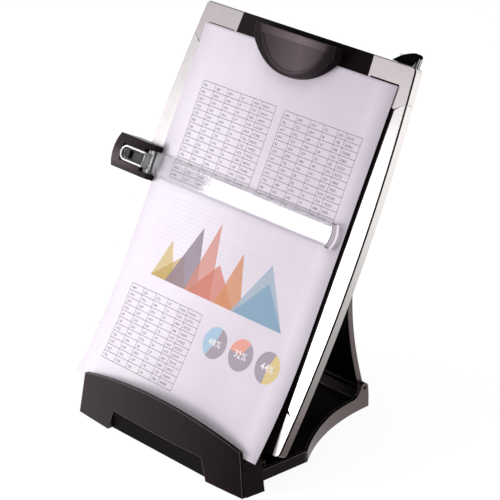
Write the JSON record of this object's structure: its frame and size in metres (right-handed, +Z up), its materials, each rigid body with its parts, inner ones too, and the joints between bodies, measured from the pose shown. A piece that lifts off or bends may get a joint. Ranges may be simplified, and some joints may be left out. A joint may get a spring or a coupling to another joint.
{
  "type": "document holder with drawer",
  "caption": "Leaning desktop document holder with a clip, a sliding line guide, a pull-out memo board, a rear leg and a shallow drawer in its base.",
  "frame": {"origin": "Bottom of the middle rubber foot, on the centre plane, on the surface that the holder stands on", "axes": "+Z up; +Y towards the rear leg, away from the reader; +X to the right of someone who faces the document"},
  "size_m": [0.2725, 0.1805, 0.3128],
  "materials": {
    "black_plastic": "fine grain, matt",
    "gloss_black": "polished",
    "silver_plastic": "silver paint, satin",
    "clear_plastic": "clear, polished",
    "white_board": "dry-wipe white",
    "grey_rubber": "matt",
    "steel": "drawn",
    "paper": "printed office paper"
  },
  "bodies": {
    "base": {"base_platform": "black_plastic", "front_bar": "black_plastic", "front_fascia": "gloss_black", "drawer_bay_cover": "black_plastic", "drawer_runners": "black_plastic", "rubber_feet": "grey_rubber", "base_screws": "steel", "panel_hinge_pins": "steel", "leg_pivot_rod": "steel"},
    "drawer": {"drawer_tray": "black_plastic", "drawer_front": "black_plastic"},
    "panel": {"centre_sheet": "black_plastic", "middle_plate": "black_plastic", "right_side_rail": "silver_plastic", "left_side_rail": "silver_plastic", "right_top_corner_cap": "silver_plastic", "left_top_corner_cap": "silver_plastic", "right_low_corner_cap": "silver_plastic", "left_low_corner_cap": "silver_plastic", "clip_housing": "gloss_black", "back_cover": "black_plastic", "cover_screws": "steel", "right_leg_rack": "black_plastic", "left_leg_rack": "black_plastic", "sample_document": "paper", "clip_pin": "steel", "clip_spring": "steel"},
    "clip": {"clip_lever": "gloss_black", "clip_pad": "grey_rubber"},
    "memo": {"memo_board": "white_board", "memo_grip": "gloss_black"},
    "slider": {"slider_front_shell": "gloss_black", "slider_back_shell": "black_plastic", "slider_brake_pad": "grey_rubber", "guide_stop_block": "grey_rubber", "guide_pin": "steel"},
    "guide": {"line_guide": "clear_plastic"},
    "leg": {"rear_leg": "black_plastic", "leg_top_rod": "steel"}
  },
  "joints": [
    {"name": "panel_tilt", "type": "hinge", "parent": "base", "child": "panel", "pos_m": [0, -0.062, 0.014], "axis": [-1, 0, 0], "range_deg": [0, 12]},
    {"name": "leg_swing", "type": "hinge", "parent": "base", "child": "leg", "pos_m": [0, 0.0845, 0.0184], "axis": [-1, 0, 0], "range_deg": [0, 18.8]},
    {"name": "drawer_slide", "type": "slide", "parent": "base", "child": "drawer", "axis": [0, -1, 0], "range_m": [0, 0.055]},
    {"name": "memo_slide", "type": "slide", "parent": "panel", "child": "memo", "axis": [1, 0, 0], "range_m": [0, 0.08]},
    {"name": "clip_press", "type": "hinge", "parent": "panel", "child": "clip", "pos_m": [0, 0.05494, 0.29927], "axis": [-1, 0, 0], "range_deg": [0, 20], "stiffness_Nm_per_rad": 0.4, "springref_deg": -8.59},
    {"name": "slider_travel", "type": "slide", "parent": "panel", "child": "slider", "axis": [0, 0.4439, 0.8961], "range_m": [-0.07, 0.08]},
    {"name": "guide_lift", "type": "hinge", "parent": "slider", "child": "guide", "pos_m": [-0.11, -0.00095, 0.18735], "axis": [0, -0.4439, -0.8961], "range_deg": [0, 5], "stiffness_Nm_per_rad": 0.05, "springref_deg": -5.73}
  ],
  "couplings": [
    {"joint": "leg_swing", "follows": "panel_tilt", "ratio": 1.55}
  ]
}
